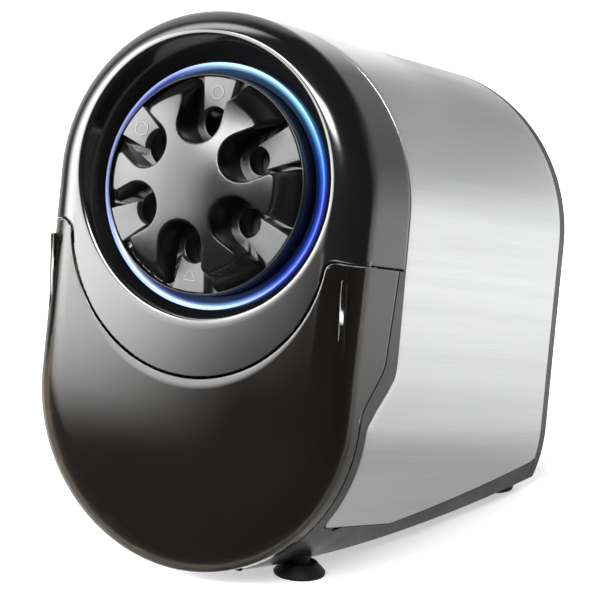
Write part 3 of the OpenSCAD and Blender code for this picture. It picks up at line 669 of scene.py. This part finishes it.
def flower(radius, half, tip):
    """Outline of a disc cut by six slots that open outwards, with rounded tips."""
    reach = math.sqrt((radius - tip) ** 2 - (half + tip) ** 2)
    lean = math.degrees(math.atan2(half + tip, reach))
    wall = np.linspace(0, 1, 7)[1:-1]
    one = [
        arc(reach, -half - tip, tip, -lean, 90, 7),
        np.stack([mix(reach, HOLE_CIRCLE, wall), np.full(5, -half)], axis=1),
        arc(HOLE_CIRCLE, 0, half, 270, 90, 23),
        np.stack([mix(HOLE_CIRCLE, reach, wall), np.full(5, half)], axis=1),
        arc(reach, half + tip, tip, -90, lean, 7),
        arc(0, 0, radius, lean, 60 - lean, 15)[1:-1],
    ]
    one = np.concatenate(one)
    return np.concatenate([turned(one, 90 + 60 * k) for k in range(6)])


def fill(loops, inner=(), keep=None):
    """Triangles inside outlines, with extra points inside. keep says which triangle centres stay."""
    points = []
    edges = []
    for loop in loops:
        start = len(points)
        points.extend(mathutils.Vector((float(a), float(b))) for a, b in loop)
        edges.extend((start + i, start + (i + 1) % len(loop)) for i in range(len(loop)))
    points.extend(mathutils.Vector((float(a), float(b))) for a, b in inner)
    got = mathutils.geometry.delaunay_2d_cdt(points, edges, [], 0, 1e-6)
    flat = np.array([[p.x, p.y] for p in got[0]])
    faces = [f for f in got[2] if keep(flat[list(f)].mean(axis=0))]
    return flat, faces


def in_slot(q, half):
    """Whether a point lies in one of the dial's slots."""
    for k in range(6):
        p = turned(np.asarray(q)[None], -(90 + 60 * k))[0]
        straight = abs(p[1]) < half and p[0] > HOLE_CIRCLE
        round_end = math.hypot(p[0] - HOLE_CIRCLE, p[1]) < half
        if straight or round_end:
            return True
    return False


def dial_dome():
    """The dial's dome, cut by six slots."""
    edge = 0.8
    rows = []
    for a in np.radians(np.linspace(0, 90, 6)):
        d = edge * (1 - math.sin(a))
        q = flower(DOME_R - d, SLOT_HALF + d, TIP - d)
        rows.append(at(q[:, 0], dome_s(q[:, 0], q[:, 1]) + edge * (1 - math.cos(a)), q[:, 1]))
    # walls go straight down in the slots, and flare outwards at the lobes
    top_s = dome_s(*flower(DOME_R, SLOT_HALF, TIP).T) + edge
    flank = ((0.12, 28.4), (0.3, 29.3), (0.5, 30.4), (0.68, 31.4), (0.8, 32.3), (0.9, 32.9), (1.0, 33.2))
    for f, radius in flank:
        q = flower(radius, SLOT_HALF, TIP)
        rows.append(at(q[:, 0], mix(top_s, FLOOR_S, f), q[:, 1]))
    b = Builder()
    b.grid(rows, closed=True)
    loop = flower(DOME_R - edge, SLOT_HALF + edge, TIP - edge)
    inner = []
    for r in np.arange(1.5, DOME_R - 2, 1.5):
        for a in np.linspace(0, 2 * math.pi, int(4 * r) + 6, endpoint=False):
            q = (r * math.cos(a), r * math.sin(a))
            if not in_slot(q, SLOT_HALF + edge + 0.8):
                inner.append(q)
    inside = lambda q: math.hypot(*q) < DOME_R and not in_slot(q, SLOT_HALF + edge - 0.02)
    flat, faces = fill([loop], inner, inside)
    b.patch(at(flat[:, 0], dome_s(flat[:, 0], flat[:, 1]), flat[:, 1]), faces)
    obj = b.build("dial_dome", FINISHES["dial_black"], "dial", inner=(0, 0, 110))
    # the small edge faces take the turn, and the dome and the walls stay true
    obj.modifiers.new("shade", "WEIGHTED_NORMAL").weight = 100
    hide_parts("selector_dial")
    return obj


def dial_base():
    """The dial's plate with its holes and the thin skirt round it."""
    b = Builder()
    loops = [arc(0, 0, 33.4, 0, 360, 121)[:-1]]
    for k, d in enumerate(HOLE_D):
        c = turned(np.array([[HOLE_CIRCLE, 0.0]]), 90 + 60 * k)[0]
        loops.append(arc(c[0], c[1], d / 2 + 0.4, 0, 360, 49)[:-1])

    def solid(q):
        for k, d in enumerate(HOLE_D):
            c = turned(np.array([[HOLE_CIRCLE, 0.0]]), 90 + 60 * k)[0]
            if math.hypot(q[0] - c[0], q[1] - c[1]) < d / 2 + 0.38:
                return False
        return True

    flat, faces = fill(loops, (), solid)
    b.patch(at(flat[:, 0], np.full(len(flat), FLOOR_S), flat[:, 1]), faces)
    for k, d in enumerate(HOLE_D):
        c = turned(np.array([[HOLE_CIRCLE, 0.0]]), 90 + 60 * k)[0]
        rows = []
        for grow, s in ((0.4, 0), (0.18, 0.06), (0.05, 0.2), (0, 0.4), (0, 4), (0, 7.8)):
            q = arc(c[0], c[1], d / 2 + grow, 0, 360, 49)[:-1]
            rows.append(at(q[:, 0], np.full(48, FLOOR_S + s), q[:, 1]))
        b.grid(rows, closed=True)
    b.grid(rings([(33.4, FLOOR_S), (33.4, 0.3), (33.48, 0.1), (33.65, 0), (33.82, 0.1), (33.95, 0.5), (34, 1),
                  (34, 6), (34, 11), (30, 11), (26, 11)], 160), closed=True)
    obj = b.build("dial_plate", FINISHES["dial_black"], "dial", inner=(0, -40, 110))
    return obj


def inset(loop, d):
    """The outline moved inwards by d along its corners' bisectors. It runs anticlockwise."""
    before = loop - np.roll(loop, 1, axis=0)
    after = np.roll(loop, -1, axis=0) - loop
    before /= np.linalg.norm(before, axis=1)[:, None]
    after /= np.linalg.norm(after, axis=1)[:, None]
    n0 = np.stack([-before[:, 1], before[:, 0]], axis=1)
    n1 = np.stack([-after[:, 1], after[:, 0]], axis=1)
    n = n0 + n1
    n /= np.maximum(np.sum(n * n1, axis=1), 0.3)[:, None]
    return loop + n * d


def tongues():
    """The flat tongues that lead each pencil from the rim to its hole."""
    b = Builder()
    for k, d in enumerate(HOLE_D):
        r = d / 2 + 0.15
        narrow = min(3.9, r - 0.25)
        reach = math.degrees(math.asin(narrow / r))
        wide = math.degrees(math.asin(5.5 / 33.1))
        loop = np.concatenate([arc(0, 0, 33.1, -wide, wide, 9), arc(HOLE_CIRCLE, 0, r, reach, -reach, 15)])
        loop = turned(loop, 90 + 60 * k)
        rows = []
        for move, s in ((0, FLOOR_S + 0.1), (0, 0.25), (0.04, 0.1), (0.12, 0.02), (0.25, 0)):
            q = inset(loop, move)
            rows.append(at(q[:, 0], np.full(len(q), s), q[:, 1]))
        b.grid(rows, closed=True)
        b.patch(rows[-1], [tuple(range(len(loop)))])
    obj = b.build("dial_tongues", TONGUE, "dial", inner=(0, 0, 110))
    return obj


def tube(b, path, radius, sides=8):
    """A closed bead along a path on the tongues' plane."""
    path = np.asarray(path, float)
    after = np.roll(path, -1, axis=0) - np.roll(path, 1, axis=0)
    after /= np.linalg.norm(after, axis=1)[:, None]
    across = np.stack([-after[:, 1], after[:, 0]], axis=1)
    rows = []
    for a in np.linspace(0, 2 * math.pi, sides, endpoint=False):
        q = path + across * radius * math.cos(a)
        rows.append(at(q[:, 0], np.full(len(q), radius * 0.8 * math.sin(a)), q[:, 1]))
    rows.append(rows[0])
    b.grid(rows, closed=True)


def icons():
    """Plain marks on three tongues: a ring, a hexagon and a triangle."""
    b = Builder()
    spots = ((0, 28.4, 24, 2.0, 0), (1, 28.4, 6, 2.3, 0), (3, 28.4, 3, 2.4, 180))
    for k, place, corners, size, lean in spots:
        loop = arc(place, 0, size, lean, lean + 360, corners + 1)[:-1]
        if corners < 12:
            steps = np.linspace(0, 1, 5)[:-1]
            sides = [mix(loop[i], loop[(i + 1) % corners], steps[:, None]) for i in range(corners)]
            loop = np.concatenate(sides)
        tube(b, turned(loop, 90 + 60 * k), 0.22)
    return b.build("dial_marks", icon_mark("mark_grey", (0.12, 0.12, 0.125)), "dial")


bezel()
light()
tray()
tray_bin()
shell()
dial_dome()
dial_base()
tongues()
icons()

# ---- the CAD pieces that show as they are ----
for name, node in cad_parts.items():
    if node.hide_render:
        continue
    slot_name = node.data.materials[0].name.split(".")[0]
    node.data.materials[0] = FINISHES[slot_name]


# ---- floor, light and camera ----
# Soft boxes round the object: azimuths from the front towards +X, elevations, feather and strength
SOFT_BOXES = (
    ("front_left", (-80, -46), (4, 78), 12, 7.0),
    ("left_wall", (-170, -100), (-40, 60), 14, 1.1),
    ("crest_strip", (-30, 20), (25, 37), 5, 44.0),
    ("right_wall", (120, 240), (-60, 24), 14, 0.40),
)
AMBIENT = 0.10
# Boxes close by, in metres: place, point faced, width, height, strength, fades across and along
NEAR_BOXES = {
    "box_left": ((-0.41, -0.40, 0.26), (0, -0.088, 0.26), 0.62, 0.56, 14.0, (0.25, 0.11)),
    "box_front": ((-0.33, -0.73, 0.26), (0, -0.088, 0.26), 0.32, 0.46, 6.5, (0.15, 0.12)),
    "box_right": ((0.14, 0.20, 0.045), (0.02, -0.08, 0.08), 0.60, 0.24, 0.8, (0.10, 0.12)),
}
FLOOR_HALF = 20
BACKDROP_R = 6
BACKDROP_TOP = 5


def soft_boxes():
    """The world: a dim room with soft boxes."""
    world = bpy.data.worlds.new("studio")
    world.use_nodes = True
    nodes = world.node_tree.nodes
    links = world.node_tree.links
    back = next(n for n in nodes if n.type == "BACKGROUND")
    back.inputs["Color"].default_value = (1, 1, 1, 1)
    split = nodes.new("ShaderNodeSeparateXYZ")
    links.new(nodes.new("ShaderNodeTexCoord").outputs["Generated"], split.inputs["Vector"])

    def math_node(operation, a, b=0.0):
        node = nodes.new("ShaderNodeMath")
        node.operation = operation
        for k, value in enumerate((a, b)):
            if isinstance(value, float):
                node.inputs[k].default_value = value
            else:
                links.new(value, node.inputs[k])
        return node.outputs["Value"]

    def step(value, low, high):
        node = nodes.new("ShaderNodeMapRange")
        node.interpolation_type = "SMOOTHSTEP"
        node.inputs["From Min"].default_value = math.radians(low)
        node.inputs["From Max"].default_value = math.radians(high)
        links.new(value, node.inputs["Value"])
        return node.outputs["Result"]

    front = math_node("MULTIPLY", split.outputs["Y"], -1.0)
    azimuth = math_node("ARCTAN2", split.outputs["X"], front)
    # azimuths from the back are counted on past 180 degrees
    behind = math_node("LESS_THAN", azimuth, math.radians(-175))
    rising = math_node("ADD", azimuth, math_node("MULTIPLY", behind, 2 * math.pi))
    elevation = math_node("ARCSINE", split.outputs["Z"])
    total = AMBIENT
    for _, (az0, az1), (el0, el1), feather, strength in SOFT_BOXES:
        part = step(rising, az0 - feather, az0 + feather)
        part = math_node("MULTIPLY", part, step(rising, az1 + feather, az1 - feather))
        part = math_node("MULTIPLY", part, step(elevation, el0 - feather, el0 + feather))
        part = math_node("MULTIPLY", part, step(elevation, el1 + feather, el1 - feather))
        total = math_node("ADD", math_node("MULTIPLY", part, strength), total)
    links.new(total, back.inputs["Strength"])
    bpy.context.scene.world = world


def near_box(name, centre, facing, width, height, strength, fades):
    """A soft box close to the object, which fades towards its sides and its ends. Sizes in metres."""
    mesh = bpy.data.meshes.new(name)
    x, y = width / 2, height / 2
    mesh.from_pydata([(-x, -y, 0), (x, -y, 0), (x, y, 0), (-x, y, 0)], [], [(0, 1, 2, 3)])
    box = bpy.data.objects.new(name, mesh)
    box.location = centre
    aim = mathutils.Vector(facing) - box.location
    box.rotation_euler = aim.to_track_quat("Z", "Y").to_euler()
    material = bpy.data.materials.new(name)
    material.use_nodes = True
    nodes = material.node_tree.nodes
    links = material.node_tree.links
    nodes.clear()
    split = nodes.new("ShaderNodeSeparateXYZ")
    links.new(nodes.new("ShaderNodeTexCoord").outputs["Object"], split.inputs["Vector"])
    glow = nodes.new("ShaderNodeEmission")
    level = strength
    for side, reach, fade in (("X", x, fades[0]), ("Y", y, fades[1])):
        size = nodes.new("ShaderNodeMath")
        size.operation = "ABSOLUTE"
        links.new(split.outputs[side], size.inputs[0])
        ramp = nodes.new("ShaderNodeMapRange")
        ramp.interpolation_type = "SMOOTHSTEP"
        ramp.inputs["From Min"].default_value = reach
        ramp.inputs["From Max"].default_value = reach - fade
        links.new(size.outputs["Value"], ramp.inputs["Value"])
        product = nodes.new("ShaderNodeMath")
        product.operation = "MULTIPLY"
        links.new(ramp.outputs["Result"], product.inputs[0])
        if isinstance(level, float):
            product.inputs[1].default_value = level
        else:
            links.new(level, product.inputs[1])
        level = product.outputs["Value"]
    links.new(level, glow.inputs["Strength"])
    both = nodes.new("ShaderNodeAddShader")
    links.new(glow.outputs["Emission"], both.inputs[0])
    links.new(nodes.new("ShaderNodeBsdfTransparent").outputs["BSDF"], both.inputs[1])
    links.new(both.outputs["Shader"], nodes.new("ShaderNodeOutputMaterial").inputs["Surface"])
    mesh.materials.append(material)
    box.visible_camera = False
    box.visible_shadow = False
    box.visible_transmission = False
    bpy.context.scene.collection.objects.link(box)


def backdrop():
    """A plain white wall far behind, which neither lights the object nor shows in it."""
    turn = np.linspace(0, 2 * math.pi, 48, endpoint=False)
    r = BACKDROP_R
    rows = [[(r * math.cos(a), r * math.sin(a), z) for a in turn] for z in (-0.01, BACKDROP_TOP)]
    mesh = bpy.data.meshes.new("backdrop")
    mesh.from_pydata([p for row in rows for p in row], [], grid_faces(2, len(turn), 0, True))
    mesh.materials.append(plain("backdrop_white", (0.9, 0.9, 0.9), 0.8, 0.0, 40, 0.00002,
                                Emission_Color=(1, 1, 1, 1), Emission_Strength=2.0))
    wall = bpy.data.objects.new("studio_backdrop", mesh)
    wall.visible_diffuse = False
    wall.visible_glossy = False
    wall.visible_transmission = False
    wall.visible_shadow = False
    bpy.context.scene.collection.objects.link(wall)


def studio():
    """A white floor in a room of soft boxes."""
    mesh = bpy.data.meshes.new("floor")
    k = FLOOR_HALF
    mesh.from_pydata([(-k, -k, 0), (k, -k, 0), (k, k, 0), (-k, k, 0)], [], [(0, 1, 2, 3)])
    floor = bpy.data.objects.new("studio_floor", mesh)
    white = plain("floor_white", (0.9, 0.9, 0.9), 0.8, 0.0, 40, 0.00002,
                  Emission_Color=(1, 1, 1, 1), Emission_Strength=0.5)
    mesh.materials.append(white)
    floor.visible_glossy = False
    bpy.context.scene.collection.objects.link(floor)
    soft_boxes()
    for name, values in NEAR_BOXES.items():
        near_box(name, *values)
    backdrop()
    bpy.context.scene.view_settings.view_transform = "Standard"


def camera():
    """The camera at the picture's viewing angle."""
    azimuth, elevation, roll = (math.radians(k) for k in (27.009, 13.546, 2.8))
    view = np.array([-math.sin(azimuth) * math.cos(elevation), math.cos(azimuth) * math.cos(elevation),
                     -math.sin(elevation)])
    right = np.array([math.cos(azimuth), math.sin(azimuth), 0.0])
    above = np.cross(right, view)
    x = math.cos(roll) * right + math.sin(roll) * above
    y = -math.sin(roll) * right + math.cos(roll) * above
    data = bpy.data.cameras.new("camera")
    data.lens = 169.8
    data.sensor_width = 36
    data.clip_end = 60
    cam = bpy.data.objects.new("camera", data)
    spot = DIAL + np.array([412.83, -741.75, 169.57])
    m = mathutils.Matrix([[*row] for row in np.stack([x, y, -view], axis=1)]).to_4x4()
    m.translation = mathutils.Vector(spot * MM)
    cam.matrix_world = m
    bpy.context.scene.collection.objects.link(cam)
    bpy.context.scene.camera = cam


studio()
camera()
